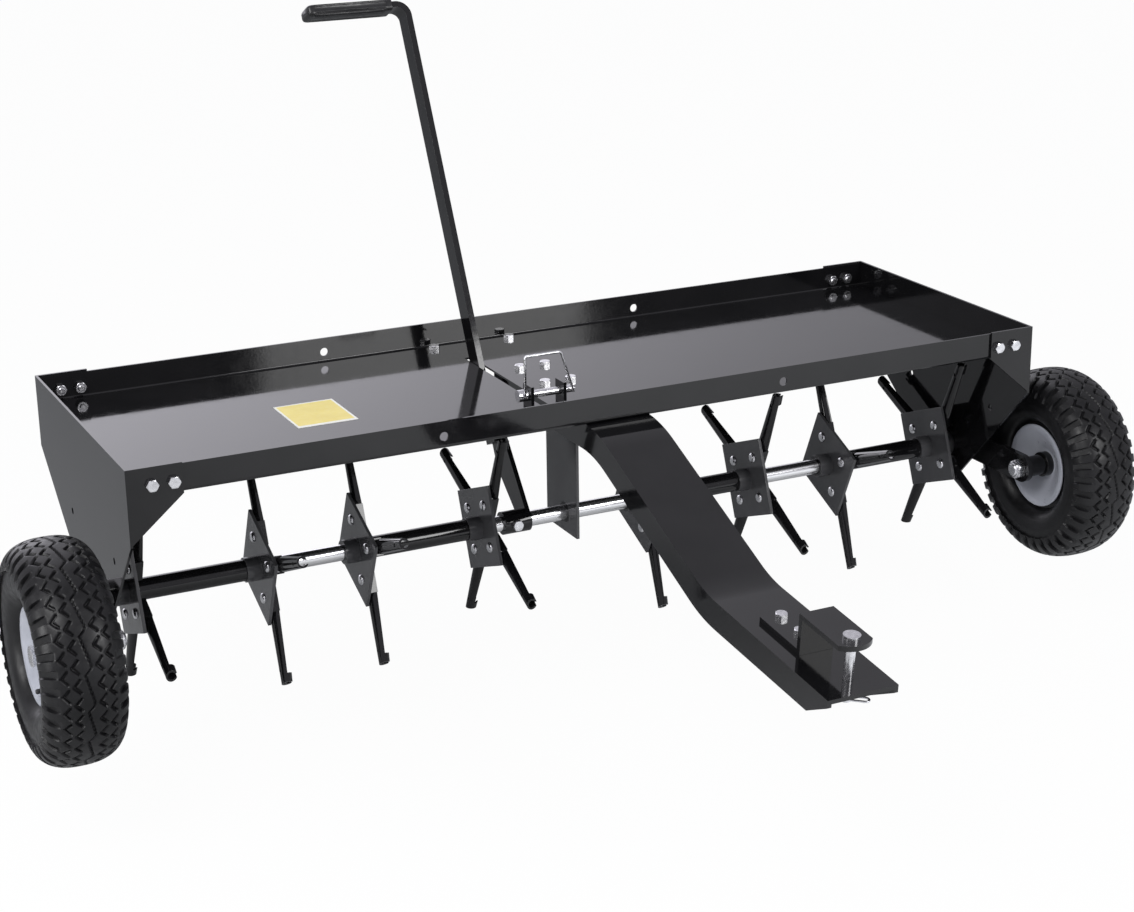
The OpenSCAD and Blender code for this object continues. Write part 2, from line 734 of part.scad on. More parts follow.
// Wire bail: a stub in the pin's head, then a frame that stands over both lugs
module lock_bail() {
    far_x = lock_tip_x - 2 * bail_r;
    top_x = far_x - bail_step;
    low_z = lock_z - bail_r;
    top_z = lock_z + bail_h;
    outline = [[lock_head_x - bail_r, low_z], [lock_head_x - bail_r, top_z + bail_r],
        [top_x + bail_r, top_z + bail_r], [far_x + bail_r, low_z], [far_x - bail_r, low_z],
        [top_x - bail_r, top_z - bail_r],
        [lock_head_x + bail_r, top_z - bail_r], [lock_head_x + bail_r, low_z]];
    color(zinc) {
        translate([lock_head_x, lock_y - 2 * loose, lock_z]) rotate([90, 0, 0])
            cylinder(r = bail_r, h = lock_y - 2 * loose - bail_y);
        translate([0, bail_y + bail_r, 0]) rotate([90, 0, 0]) linear_extrude(2 * bail_r) polygon(outline);
    }
}

module shaft() {
    half = arm_x + arm_hub_l;
    color(zinc) on_shaft(-half) cylinder(r = shaft_r, h = 2 * half);
}

// Flat bar whose upper end bends to the left for the grip
module lever_bar() {
    top = grip_up + lever_t / 2;
    bend = [bar_in_x - lever_bend_r, top - lever_bend_r];
    left = -lever_x - grip_reach;
    outline = concat([[bar_in_x - lever_t, lever_low], [bar_in_x, lever_low]],
        arc(bend, lever_bend_r, 0, 90), [[left, top], [left, top - lever_t]],
        arc(bend, lever_bend_r - lever_t, 90, 0));
    color(gloss_black) on_lever() difference() {
        translate([0, lever_set + lever_w / 2, 0]) rotate([90, 0, 0])
            linear_extrude(lever_w) polygon(outline);
        for (up = lever_bolts_up) translate([-lever_x, lever_set, up]) rotate([0, 90, 0])
            bolt_hole(lever_t);
    }
}

// Rounded section of the grip with the bar's opening
module grip_section() {
    difference() {
        union() {
            square([grip_w - 2 * grip_round, grip_t], center = true);
            square([grip_w, grip_t - 2 * grip_round], center = true);
            for (x = [-1, 1], y = [-1, 1])
                translate([x * (grip_w / 2 - grip_round), y * (grip_t / 2 - grip_round)]) circle(grip_round);
        }
        square([lever_w, lever_t], center = true);
    }
}

module lever_grip() {
    end_x = -lever_x - grip_reach - (grip_t - lever_t) / 2;
    cap_t = (grip_t - lever_t) / 2;
    color(rubber_black) on_lever() {
        translate([end_x + cap_t + (grip_l - cap_t) / 2, lever_set, grip_up])
            side_extrude(grip_l - cap_t) grip_section();
        translate([end_x + cap_t / 2, lever_set, grip_up]) side_extrude(cap_t) {
            square([grip_w - 2 * grip_round, grip_t], center = true);
            square([grip_w, grip_t - 2 * grip_round], center = true);
            for (x = [-1, 1], y = [-1, 1])
                translate([x * (grip_w / 2 - grip_round), y * (grip_t / 2 - grip_round)]) circle(grip_round);
        }
    }
}

// Lower arm: a plate beside the bar, welded to a collar that is fixed on the shaft
module lever_arm() {
    plate_x = bar_in_x + arm_plate_t / 2;
    half_w = lever_w / 2;
    color(gloss_black) on_lever() difference() {
        union() {
            translate([plate_x, 0, 0]) side_extrude(arm_plate_t) {
                circle(collar_r);
                polygon([[-collar_r, 0], [collar_r, 0], [lever_set + half_w, arm_plate_knee],
                    [lever_set + half_w, arm_plate_up], [lever_set - half_w, arm_plate_up]]);
            }
            translate([plate_x + arm_plate_t / 2 - collar_l, 0, 0]) rotate([0, 90, 0])
                cylinder(r = collar_r, h = collar_l);
        }
        translate([plate_x - collar_l, 0, 0]) rotate([0, 90, 0]) cylinder(r = shaft_r, h = 2 * collar_l);
        for (up = lever_bolts_up) translate([plate_x, lever_set, up]) rotate([0, 90, 0])
            bolt_hole(arm_plate_t);
        rotate([lever_lean, 0, 0]) translate([plate_x - collar_l / 2, 0, 0]) rotate([90, 0, 0])
            cylinder(r = bolt_r, h = collar_r + over);
    }
}

module lever_bolts() {
    stack = lever_t + arm_plate_t;
    color(zinc) on_lever() for (up = lever_bolts_up)
        translate([bar_in_x + arm_plate_t, lever_set, up]) rotate([0, -90, 0]) round_bolt(stack);
}

// Set bolt of the collar: its shank ends on the shaft
module collar_bolt() {
    bolt_x = bar_in_x + (arm_plate_t - collar_l) / 2;
    color(zinc) translate([bolt_x, shaft_y - collar_r, shaft_z]) rotate([90, 0, 0])
        hex_bolt(collar_r - shaft_r);
}

// Right wheel arm: a flat bar with rounded ends, on a hub that is fixed on the shaft's end
module wheel_arm() {
    difference() {
        union() {
            on_shaft(arm_x) cylinder(r = arm_w / 2, h = arm_hub_l);
            on_shaft(arm_plate_x) translate([0, -arm_l, 0]) cylinder(r = arm_w / 2, h = arm_t);
            translate([arm_plate_x, shaft_y - arm_l, shaft_z - arm_w / 2]) cube([arm_t, arm_l, arm_w]);
        }
        on_shaft(arm_x - over) cylinder(r = shaft_r, h = arm_hub_l + 2 * over);
        on_shaft(arm_plate_x - over) translate([0, -arm_l, 0]) cylinder(r = axle_r, h = arm_t + 2 * over);
    }
}

module wheel_arm_right() {
    color(gloss_black) wheel_arm();
}

module wheel_arm_left() {
    color(gloss_black) mirror([1, 0, 0]) wheel_arm();
}

// Places children on the wheels' axle with z pointing outwards, on both sides
module on_axles(x) {
    for (side = [0, 1]) mirror([side, 0, 0]) on_shaft(x) translate([0, -arm_l, 0]) children();
}

module axle_bolts() {
    head_face = wheel_x + hub_l / 2 + loose;
    color(zinc) {
        on_axles(arm_plate_x - axle_nut_h - thread_out)
            cylinder(r = axle_r, h = head_face - arm_plate_x + axle_nut_h + thread_out);
        on_axles(head_face) cylinder(r = axle_hex_r, h = axle_head_h, $fn = 6);
    }
}

module axle_nuts() {
    color(zinc) on_axles(arm_plate_x - axle_nut_h) difference() {
        cylinder(r = axle_hex_r, h = axle_nut_h, $fn = 6);
        translate([0, 0, -over]) cylinder(r = axle_r, h = axle_nut_h + 2 * over);
    }
}

module wheel_spacers() {
    arm_face = arm_plate_x + arm_t;
    spacer_l = wheel_x - hub_l / 2 - loose - arm_face;
    color(gloss_black) on_axles(arm_face) difference() {
        cylinder(r = spacer_r, h = spacer_l);
        translate([0, 0, -over]) cylinder(r = axle_r, h = spacer_l + 2 * over);
    }
}

// Places children at the right wheel, z along the axle to the outside
module on_wheel() {
    on_shaft(wheel_x) translate([0, -arm_l, 0]) children();
}

// Rim: bead seat, two edges and two dished discs that meet the hub
module rim() {
    half_w = rim_w / 2;
    seat_r = rim_r - rim_lip;
    inner_r = seat_r - rim_t;
    hub_z = half_w - dish_in;
    half = [[hub_r, hub_z], [seat_r, half_w - rim_t / 2], [rim_r, half_w], [rim_r, half_w - rim_t],
        [seat_r, half_w - rim_t - rim_t / 2]];
    inside = [[inner_r, half_w - 2 * rim_t], [hub_r, hub_z - rim_t]];
    far = [for (i = [len(half) - 1 : -1 : 0]) [half[i][0], -half[i][1]]];
    far_inside = [for (i = [1, 0]) [inside[i][0], -inside[i][1]]];
    on_wheel() difference() {
        rotate_extrude() polygon(concat(half, far, far_inside, inside));
        at_valve() cylinder(r = valve_r, h = rim_w);
    }
}

// Places children at the valve, z pointing outwards, starting at the wheel's middle plane
module at_valve() {
    translate([-valve_at * sin(valve_deg), -valve_at * cos(valve_deg), 0]) children();
}

module rim_right() {
    color(rim_grey) rim();
}

module rim_left() {
    color(rim_grey) mirror([1, 0, 0]) rim();
}

// Tyre: a hollow section between the rim's edges, rounded like a full balloon, with tread blocks
module tyre() {
    middle_r = (tyre_r + rim_r) / 2;
    half_h = (tyre_r - rim_r) / 2;
    half_w = tyre_w / 2;
    bead_out = rim_w / 2 - rim_t - rim_t / 2;
    bead_in = bead_out - tyre_wall;
    seat_r = rim_r - rim_lip;
    low_share = 0.88;
    fullness = 0.8;
    low_a = -asin(low_share);
    block_foot_a = 6;
    shoulder_a = 27;
    shoulder_lean = 30;
    crown_a = 90;
    function full(v) = sign(v) * pow(abs(v), fullness);
    function at(a, high, wide) = [middle_r + high * full(sin(a)), wide * full(cos(a))];
    function stretch(from, to, steps) = [for (i = [0 : steps]) from + (to - from) * i / steps];
    function back(points) = [for (i = [len(points) - 2 : -1 : 0]) points[i]];
    function flip(points) = [for (p = points) [p[0], -p[1]]];
    sidewall = [for (a = stretch(low_a, block_foot_a, sidewall_steps))
        at(a, half_h, half_w - sidewall_in * (a - low_a) / (block_foot_a - low_a))];
    tread = [for (a = stretch(block_foot_a, crown_a, tread_steps)) at(a, half_h, half_w)];
    inner = [for (a = stretch(low_a, crown_a, tread_steps)) at(a, half_h - tyre_wall, half_w - tyre_wall)];
    outer = concat([[seat_r, bead_in], [seat_r, bead_out]], sidewall, tread);
    shoulder = at(shoulder_a, half_h, half_w);
    difference() {
        rotate_extrude() polygon(concat(outer, flip(back(outer)), flip(inner), back(inner)));
        for (side = [0, 1], i = [1 : tread_count])
            mirror([0, 0, side]) rotate((i + (1 - 2 * side) * gap_phase) * full_turn / tread_count)
                translate([shoulder[0], 0, shoulder[1]]) rotate([0, shoulder_lean, 0])
                    translate([-half_w, -tread_gap / 2, -tread_depth])
                        cube([tyre_w, tread_gap, 2 * tread_depth]);
    }
}

module tyre_right() {
    color(rubber_black) on_wheel() tyre();
}

module tyre_left() {
    color(rubber_black) mirror([1, 0, 0]) on_wheel() tyre();
}

module hub_bush() {
    on_wheel() translate([0, 0, -hub_l / 2]) difference() {
        cylinder(r = hub_r, h = hub_l);
        translate([0, 0, -over]) cylinder(r = axle_r + run_fit, h = hub_l + 2 * over);
    }
}

module hub_bush_right() {
    color(gloss_black) hub_bush();
}

module hub_bush_left() {
    color(gloss_black) mirror([1, 0, 0]) hub_bush();
}

module valve() {
    on_wheel() at_valve() translate([0, 0, rim_w / 2 - dish_in]) cylinder(r = valve_r, h = valve_l);
}

module valve_right() {
    color(rubber_black) valve();
}

module valve_left() {
    color(rubber_black) mirror([1, 0, 0]) valve();
}

// Gangs from the left: the place of the left and right plate, and the side of the turned plate
inner_from = inner_from_share * inner_half_l;
inner_to = inner_to_share * inner_half_l;
outer_from = outer_from_share * inner_half_l;
outer_to = outer_to_share * inner_half_l;
gangs = [[-outer_to, -outer_from, 1], [-inner_to, -inner_from, 0],
    [inner_from, inner_to, 0], [outer_from, outer_to, 0]];

// Turn of a gang's left (0) or right (1) plate about the shaft, front edge up
function plate_turn(gang, side) = gang_turn + (side == gang[2] ? 45 : 0);

// Places children at a plate's centre: z along the shaft to the right, x along one diagonal
module at_plate(gang, side) {
    on_shaft(gang[side]) rotate([0, 0, 45 - plate_turn(gang, side)]) children();
}

// Places children on each of a plate's four diagonals
module at_spoons() {
    for (k = [0 : 3]) rotate([0, 0, 90 * k]) children();
}

module gang_tube(gang) {
    length = gang[1] - gang[0] + gang_hub_l + tube_end;
    color(gloss_black) on_shaft(gang[0] - gang_hub_l) difference() {
        cylinder(r = tube_r, h = length);
        translate([0, 0, -over]) cylinder(r = shaft_r + run_fit, h = length + 2 * over);
    }
}

// Square plates, each with a hub on its left that is welded on the tube
module gang_plates(gang) {
    color(gloss_black) for (side = [0, 1]) at_plate(gang, side) difference() {
        union() {
            rotate([0, 0, 45]) cube([gang_side, gang_side, gang_t], center = true);
            translate([0, 0, -gang_hub_l]) cylinder(r = gang_hub_r, h = gang_hub_l);
        }
        translate([0, 0, -gang_hub_l - over]) cylinder(r = tube_r, h = gang_hub_l + gang_t + over);
        at_spoons() translate([spoon_bolt_at, 0, 0]) bolt_hole(gang_t);
    }
}

// Spoon along x: a channel on the plate, a tapering half-round blade that turns its back to the plate,
// and a rolled cup whose tip is cut on a slant
module spoon() {
    root_l = root_out - root_in;
    inner_r = spoon_r - spoon_t;
    blade_in = root_out - over;
    blade_r = spoon_r - 2 * blade_set;
    taper = atan((blade_r - cup_r) / (tip_r - blade_in));
    blade_l = (tip_r - blade_in) / cos(taper);
    cup_in = blade_l - cup_l;
    over_r = over * sin(taper);
    difference() {
        union() {
            difference() {
                translate([root_in, -spoon_r, 0]) cube([root_l, 2 * spoon_r, spoon_r]);
                translate([root_in - over, -inner_r, spoon_t]) cube([root_l + 2 * over, 2 * inner_r, spoon_r]);
            }
            translate([blade_in, 0, blade_set + blade_r]) rotate([0, 90 + taper, 0]) difference() {
                cylinder(r1 = blade_r, r2 = cup_r - over_r, h = blade_l + over);
                translate([0, 0, -over])
                    cylinder(r1 = blade_r - spoon_t + over_r, r2 = cup_r - spoon_t - 2 * over_r,
                        h = blade_l + 3 * over);
                translate([-2 * spoon_r, -2 * spoon_r, -over]) cube([2 * spoon_r, 4 * spoon_r, cup_in + over]);
                translate([-2 * spoon_r, -cup_seam / 2, cup_in - over])
                    cube([2 * spoon_r, cup_seam, cup_l + 3 * over]);
            }
        }
        translate([spoon_bolt_at, 0, 0]) bolt_hole(spoon_t + over);
        translate([tip_r - cup_l - 2 * relief_r, 0, -over]) cylinder(r = relief_r, h = spoon_r);
        translate([0, 0, -over]) linear_extrude(2 * spoon_r + 2 * over)
            polygon([[tip_r, cup_r], [tip_r - tip_cut, -cup_r], [tip_r - tip_cut, -2 * spoon_r],
                [tip_r + 2 * over, -2 * spoon_r], [tip_r + 2 * over, cup_r + over]]);
    }
}

module gang_spoons(gang) {
    color(gloss_black) for (side = [0, 1]) at_plate(gang, side) translate([0, 0, gang_t / 2])
        at_spoons() spoon();
}

// Round-headed bolts with their nuts on the spoons' roots
module gang_bolts(gang) {
    stack = gang_t + spoon_t;
    color(zinc) for (side = [0, 1]) at_plate(gang, side) at_spoons()
        translate([spoon_bolt_at, 0, -gang_t / 2]) round_bolt(stack);
}

tray();
plain_patch();
end_plate_left();
end_plate_right();
end_plate_bolts();
end_plate_nuts();
floor_bolts();
floor_nuts();
rear_strap();
shaft_bushes();
hanger();
hanger_bush();
lock_lugs();
drawbar();
hitch_strap();
strap_bolts();
strap_nuts();
hitch_pin();
hitch_clip();
lock_pin();
lock_bail();
shaft();
lever_bar();
lever_grip();
lever_arm();
lever_bolts();
collar_bolt();
wheel_arm_left();
wheel_arm_right();
axle_bolts();
axle_nuts();
wheel_spacers();
rim_left();
rim_right();
tyre_left();
tyre_right();
hub_bush_left();
hub_bush_right();
valve_left();
valve_right();
for (n = [1 : 4]) {
    gang = gangs[n - 1];
    gang_tube(gang);
    gang_plates(gang);
    gang_spoons(gang);
    gang_bolts(gang);
}
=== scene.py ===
import json
import math
import bmesh
import bpy
from mathutils import Matrix, Vector


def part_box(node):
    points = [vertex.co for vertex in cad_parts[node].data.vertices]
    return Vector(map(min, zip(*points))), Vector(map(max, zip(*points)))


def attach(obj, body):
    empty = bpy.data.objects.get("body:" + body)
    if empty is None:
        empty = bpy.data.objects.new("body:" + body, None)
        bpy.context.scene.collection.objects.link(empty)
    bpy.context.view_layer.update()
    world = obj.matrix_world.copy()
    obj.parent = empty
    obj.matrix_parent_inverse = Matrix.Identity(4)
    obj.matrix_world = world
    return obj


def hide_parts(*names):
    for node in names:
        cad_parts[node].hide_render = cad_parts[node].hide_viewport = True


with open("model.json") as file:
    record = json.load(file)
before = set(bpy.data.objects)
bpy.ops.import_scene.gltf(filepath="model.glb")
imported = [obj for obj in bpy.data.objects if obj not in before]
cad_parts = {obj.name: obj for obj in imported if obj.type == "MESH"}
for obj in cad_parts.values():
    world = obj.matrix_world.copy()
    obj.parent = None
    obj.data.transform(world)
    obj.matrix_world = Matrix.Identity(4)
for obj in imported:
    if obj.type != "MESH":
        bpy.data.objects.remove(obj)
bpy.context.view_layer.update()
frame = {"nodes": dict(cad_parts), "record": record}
nodes = frame["nodes"]
scene = bpy.context.scene
scene.view_settings.view_transform = "Standard"

# Sizes that the source also names, in metres
MM = 0.001
hex_r = 7.5 * MM
head_h = 5.5 * MM
nut_h = 6.5 * MM
bolt_r = 4 * MM
thread_out = 2 * MM
round_head_h = 3 * MM
round_head_r = 6.8 * MM
axle_r = 8 * MM
axle_hex_r = 13.8 * MM
axle_head_h = 10 * MM
axle_nut_h = 12 * MM
lever_lean = math.radians(26)
nose_slope = math.radians(6)

# Rounding of the edges of painted sheets, of the drawbar and of bare steel
paint_round = 0.7 * MM
drawbar_round = 3 * MM
drawbar_segments = 4
steel_round = 0.8 * MM

X_AXIS = Vector((1, 0, 0))
Y_AXIS = Vector((0, 1, 0))
Z_AXIS = Vector((0, 0, 1))
nose_up = Vector((0, -math.sin(nose_slope), math.cos(nose_slope)))
lever_up = Vector((0, math.sin(lever_lean), math.cos(lever_lean)))
lever_back = Vector((0, math.cos(lever_lean), -math.sin(lever_lean)))

# Which way x runs outwards on each side
side_sign = {"left": -1, "right": 1}

# Bodies of the coring gangs
gang_count = 4
gangs = [f"gang_{n}" for n in range(1, gang_count + 1)]


def middle(node):
    low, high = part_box(node)
    return (low + high) / 2


tray_mid = middle("tray")
shaft_mid = middle("shaft")


# Camera at the photograph's viewing angle
def make_camera():
    eye = Vector((-1.184, tray_mid.y - 2.498, 1.152))
    target = Vector((0.0263, tray_mid.y, 0.2045))
    focal_pixels = 2246.2
    frame_pixels = 1134
    roll = math.radians(-0.78)
    data = bpy.data.cameras.new("camera")
    data.sensor_fit = "HORIZONTAL"
    data.sensor_width = 36
    data.lens = focal_pixels / frame_pixels * data.sensor_width
    data.clip_end = 60
    camera = bpy.data.objects.new("camera", data)
    turn = (target - eye).to_track_quat("-Z", "Y").to_matrix().to_4x4()
    camera.matrix_world = Matrix.Translation(eye) @ turn @ Matrix.Rotation(roll, 4, "Z")
    scene.collection.objects.link(camera)
    scene.camera = camera


# Adds a shader node whose inputs are linked from sockets or set to values
def add_node(tree, kind, **inputs):
    node = tree.nodes.new(kind)
    for name, value in inputs.items():
        socket = node.inputs[name.replace("_", " ")]
        if isinstance(value, bpy.types.NodeSocket):
            tree.links.new(value, socket)
        else:
            socket.default_value = value
    return node


# Works out a value from other sockets
def add_math(tree, operation, *values):
    node = tree.nodes.new("ShaderNodeMath")
    node.operation = operation
    for value, socket in zip(values, node.inputs):
        tree.links.new(value, socket)
    return node.outputs["Value"]


# Runs from low to high while the value runs from start to end
def add_ramp(tree, value, start, end, low, high, smooth=False):
    node = add_node(tree, "ShaderNodeMapRange", Value=value, From_Min=start, From_Max=end,
                    To_Min=low, To_Max=high)
    if smooth:
        node.interpolation_type = "SMOOTHSTEP"
    return node.outputs["Result"]


# Mixes two shaders by a share, which is a socket or a value
def mix_shaders(tree, share, first, second):
    node = add_node(tree, "ShaderNodeMixShader", Fac=share)
    tree.links.new(first, node.inputs[1])
    tree.links.new(second, node.inputs[2])
    return node.outputs["Shader"]


# Most values of a noise lie between these two
noise_low = 0.3
noise_high = 0.7


# A material; it can take its colour, gloss and grain from noises in the object's own space
class Shader:
    def __init__(self, name, **values):
        self.material = bpy.data.materials.new(name)
        self.material.use_nodes = True
        self.tree = self.material.node_tree
        self.main = self.tree.nodes["Principled BSDF"]
        self.place = self.tree.nodes.new("ShaderNodeTexCoord").outputs["Object"]
        for socket, value in values.items():
            self.main.inputs[socket.replace("_", " ")].default_value = value

    def link(self, output, name):
        self.tree.links.new(output, self.main.inputs[name])

    def noise(self, scale, detail, stretch=None):
        place = self.place
        if stretch:
            place = add_node(self.tree, "ShaderNodeMapping", Vector=place, Scale=stretch).outputs["Vector"]
        node = add_node(self.tree, "ShaderNodeTexNoise", Vector=place, Scale=scale, Detail=detail)
        return node.outputs["Fac"]

    def mottle(self, first, second, **noise):
        node = add_node(self.tree, "ShaderNodeValToRGB", Fac=self.noise(**noise))
        start, end = node.color_ramp.elements
        start.position = noise_low
        start.color = (*first, 1)
        end.position = noise_high
        end.color = (*second, 1)
        return node.outputs["Color"]

    def colour(self, first, second, **noise):
        self.link(self.mottle(first, second, **noise), "Base Color")

    def gloss(self, low, high, **noise):
        self.link(add_ramp(self.tree, self.noise(**noise), noise_low, noise_high, low, high), "Roughness")

    def grain(self, strength, depth, **noise):
        height = self.noise(**noise)
        node = add_node(self.tree, "ShaderNodeBump", Height=height, Strength=strength, Distance=depth)
        self.link(node.outputs["Normal"], "Normal")


# Black enamel with a faint mottle and a little orange peel
def black_paint(name, first, second, rough_low, rough_high):
    shader = Shader(name, IOR=1.46, Coat_Weight=0.08, Coat_Roughness=0.04)
    shader.colour(first, second, scale=14, detail=3)
    shader.gloss(rough_low, rough_high, scale=60, detail=5)
    shader.grain(strength=0.025, depth=0.6 * MM, scale=260, detail=2)
    return shader.material


# Bright zinc of the bolts, nuts and wire
def zinc():
    shader = Shader("zinc", Metallic=1.0)
    shader.colour((0.62, 0.62, 0.64), (0.86, 0.86, 0.88), scale=220, detail=4)
    shader.gloss(low=0.16, high=0.34, scale=500, detail=4)
    shader.grain(strength=0.05, depth=0.2 * MM, scale=900, detail=2)
    return shader.material


# Drawn steel of the shaft, with fine lines along it
def bright_steel():
    shader = Shader("bright_steel", Metallic=1.0)
    shader.colour((0.78, 0.78, 0.79), (0.94, 0.94, 0.95), scale=1, detail=5, stretch=(6, 500, 500))
    shader.gloss(low=0.12, high=0.26, scale=1, detail=4, stretch=(10, 700, 700))
    return shader.material


# Tyre rubber, a little dusty in its grain
def tyre_rubber():
    shader = Shader("tyre_rubber", IOR=1.37)
    shader.colour((0.004, 0.004, 0.0045), (0.010, 0.0098, 0.0108), scale=30, detail=6)
    shader.gloss(low=0.28, high=0.46, scale=120, detail=4)
    shader.grain(strength=0.12, depth=0.5 * MM, scale=700, detail=3)
    return shader.material


# Black plastic of the bushes, the grip and the valves
def soft_plastic(name, rough_low, rough_high, grain_scale):
    shader = Shader(name)
    shader.colour((0.008, 0.008, 0.009), (0.016, 0.016, 0.017), scale=40, detail=4)
    shader.gloss(rough_low, rough_high, scale=150, detail=4)
    shader.grain(strength=0.08, depth=0.4 * MM, scale=grain_scale, detail=3)
    return shader.material


# Grey enamel of the rims
def rim_grey():
    shader = Shader("rim_grey", IOR=1.5)
    shader.colour((0.30, 0.31, 0.35), (0.38, 0.39, 0.435), scale=25, detail=5)
    shader.gloss(low=0.26, high=0.38, scale=90, detail=4)
    shader.grain(strength=0.05, depth=0.5 * MM, scale=420, detail=2)
    return shader.material


# Plain film of the patch, with a pale border that is wider in front
def patch_film():
    border = 2.5 * MM
    front_border = 6 * MM
    soft = 0.5 * MM
    pale = (0.86, 0.85, 0.80, 1)
    low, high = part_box("plain_patch")
    shader = Shader("patch_film", IOR=1.45)
    tree = shader.tree
    place = add_node(tree, "ShaderNodeSeparateXYZ", Vector=shader.place).outputs
    sides = (("X", low.x + border, soft), ("X", high.x - border, -soft),
             ("Y", low.y + front_border, soft), ("Y", high.y - border, -soft))
    left, right, front, back = [add_ramp(tree, place[axis], start, start + rise, 0.0, 1.0)
                                for axis, start, rise in sides]
    across = add_math(tree, "MULTIPLY", left, right)
    along = add_math(tree, "MULTIPLY", front, back)
    mix = tree.nodes.new("ShaderNodeMix")
    mix.data_type = "RGBA"
    tree.links.new(add_math(tree, "MULTIPLY", across, along), mix.inputs["Factor"])
    outer, inner = [socket for socket in mix.inputs if socket.type == "RGBA"]
    outer.default_value = pale
    tree.links.new(shader.mottle((0.79, 0.64, 0.18), (0.85, 0.71, 0.22), scale=45, detail=4), inner)
    mixed = [socket for socket in mix.outputs if socket.type == "RGBA"]
    shader.link(mixed[0], "Base Color")
    shader.gloss(low=0.35, high=0.5, scale=200, detail=3)
    shader.grain(strength=0.03, depth=0.3 * MM, scale=500, detail=2)
    return shader.material


def make_materials():
    deep_black = ((0.004, 0.004, 0.0045), (0.008, 0.0078, 0.0085))
    # painted sheen: a lighter black that stands in for the brighter reflection on the hanger and the
    # gangs' plates
    sheen_lightened_black = ((0.050, 0.050, 0.053), (0.070, 0.069, 0.072))
    return {
        "black_paint": black_paint("black_paint", *deep_black, rough_low=0.05, rough_high=0.10),
        "rough_paint_with_painted_sheen": black_paint("rough_paint_with_painted_sheen", *sheen_lightened_black, rough_low=0.12, rough_high=0.24),
        "zinc": zinc(),
        "bright_steel": bright_steel(),
        "bush_plastic": soft_plastic("bush_plastic", rough_low=0.35, rough_high=0.5, grain_scale=600),
        "vinyl": soft_plastic("vinyl", rough_low=0.25, rough_high=0.4, grain_scale=900),
        "patch": patch_film(),
        "rim_grey": rim_grey(),
        "tyre_rubber": tyre_rubber(),
        "valve_rubber": soft_plastic("valve_rubber", rough_low=0.4, rough_high=0.6, grain_scale=800),
    }


# Puts each slot's material on its CAD nodes; the hanger and the gangs' plates get a rougher paint whose
# lighter black is painted sheen, standing in for the brighter reflection on their faces
def dress_nodes(materials):
    painted_sheen_nodes = ["hanger"] + [gang + "_plates" for gang in gangs]
    for part in frame["record"]["subparts"]:
        mesh = nodes[part["node"]].data
        mesh.materials.clear()
        kind = "rough_paint_with_painted_sheen" if part["node"] in painted_sheen_nodes else part["material_slot"]
        mesh.materials.append(materials[kind])


# Nodes whose large faces have holes, which are cut into triangles before their edges are rounded
holed_nodes = ("end_plate_left", "end_plate_right", "drawbar")


# Rounds the edges of a painted or turned node a little, as paint and tumbling do
def soften(node, width, segments=2):
    same_place = 0.01 * MM
    flat_angle = math.radians(0.5)
    edge_angle = math.radians(35)
    most_corners = 4
    large_face_weight = 100
    piece = nodes[node]
    weld = piece.modifiers.new("weld", "WELD")
    weld.merge_threshold = same_place
    whole = piece.modifiers.new("whole", "DECIMATE")
    whole.decimate_type = "DISSOLVE"
    whole.angle_limit = flat_angle
    if node in holed_nodes:
        cut = piece.modifiers.new("cut", "TRIANGULATE")
        cut.min_vertices = most_corners + 1
    bevel = piece.modifiers.new("bevel", "BEVEL")
    bevel.width = width
    bevel.segments = segments
    bevel.limit_method = "ANGLE"
    bevel.angle_limit = edge_angle
    bevel.use_clamp_overlap = True
    normals = piece.modifiers.new("normals", "WEIGHTED_NORMAL")
    normals.mode = "FACE_AREA"
    normals.weight = large_face_weight


# Rounds the edges of the painted nodes, the pins and the shaft
def soften_nodes():
    for part in frame["record"]["subparts"]:
        if part["node"] == "drawbar":
            soften("drawbar", drawbar_round, drawbar_segments)
        elif part["material_slot"] == "black_paint":
            soften(part["node"], paint_round)
    for node in ("hitch_pin", "lock_pin", "shaft"):
        soften(node, steel_round)


# Makes an object of a bmesh that rides on a body and stands for CAD nodes
def make_piece(name, bm, body, material, stands_for, sharp_deg):
    bmesh.ops.recalc_face_normals(bm, faces=bm.faces)
    mesh = bpy.data.meshes.new(name)
    bm.to_mesh(mesh)
    bm.free()
    mesh.materials.append(material)
    for face in mesh.polygons:
        face.use_smooth = True
    mesh.set_sharp_from_angle(angle=math.radians(sharp_deg))
    piece = bpy.data.objects.new(name, mesh)
    scene.collection.objects.link(piece)
    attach(piece, body)
    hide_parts(*stands_for)


# Joins rings of vertices of equal length by faces
def skin(bm, rings, closed):
    count = len(rings[0])
    pairs = list(zip(rings, rings[1:]))
    if closed:
        pairs.append((rings[-1], rings[0]))
    for first, second in pairs:
        for i in range(count):
            j = (i + 1) % count
            bm.faces.new((first[i], first[j], second[j], second[i]))
    if not closed:
        bm.faces.new(rings[0])
        bm.faces.new(rings[-1])


# Angles that share out a full turn
def full_turn(steps):
    return [2 * math.pi * i / steps for i in range(steps)]


# Ring of vertices about the z axis of a place
def circle(bm, place, radius, height, steps):
    return [bm.verts.new(place @ Vector((radius * math.cos(angle), radius * math.sin(angle), height)))
            for angle in full_turn(steps)]


# Turns a profile of (radius, height) points about the z axis of a place
def lathe(bm, place, profile, steps=32, closed=False):
    skin(bm, [circle(bm, place, radius, height, steps) for radius, height in profile], closed)


# A place whose z runs along axis and whose x leans to side
def stand(origin, axis, side):
    z = axis.normalized()
    x = (side - z * side.dot(z)).normalized()
    y = z.cross(x)
    place = Matrix((x, y, z)).transposed().to_4x4()
    place.translation = origin
    return place


